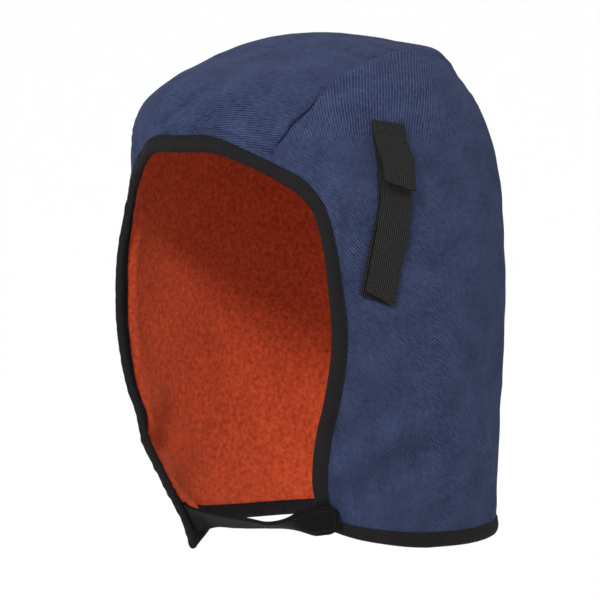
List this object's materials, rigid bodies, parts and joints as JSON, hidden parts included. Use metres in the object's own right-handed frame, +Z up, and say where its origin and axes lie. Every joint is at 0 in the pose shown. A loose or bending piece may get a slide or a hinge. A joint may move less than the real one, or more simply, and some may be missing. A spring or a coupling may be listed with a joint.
{
  "type": "hard hat winter hood",
  "caption": "Fleece-lined twill hood worn under a hard hat, with bound edges, a chin strap and webbing tabs that fasten to the hat's harness.",
  "frame": {"origin": "inside of the crown, where the top of the wearer's head meets the lining", "axes": "+Z up along the wearer's head, -Y towards the wearer's face, +X towards the wearer's left"},
  "size_m": [0.1816, 0.1978, 0.2668],
  "materials": {
    "shell_twill": "matt navy cotton twill, fine diagonal rib",
    "lining_fleece": "orange-red brushed fleece",
    "edge_tape": "matt black folded edge tape",
    "chin_band": "matt black soft band",
    "webbing": "matt black ribbed webbing with fastening face"
  },
  "bodies": {
    "root": {"crown_panel": "shell_twill", "side_panel_left": "shell_twill", "side_panel_right": "shell_twill", "fleece_lining": "lining_fleece", "face_binding": "edge_tape", "hem_binding": "edge_tape", "chin_strap": "chin_band", "hat_tab_strap_left": "webbing", "hat_tab_flap_left": "webbing", "hat_tab_strap_right": "webbing", "hat_tab_flap_right": "webbing"}
  },
  "joints": []
}
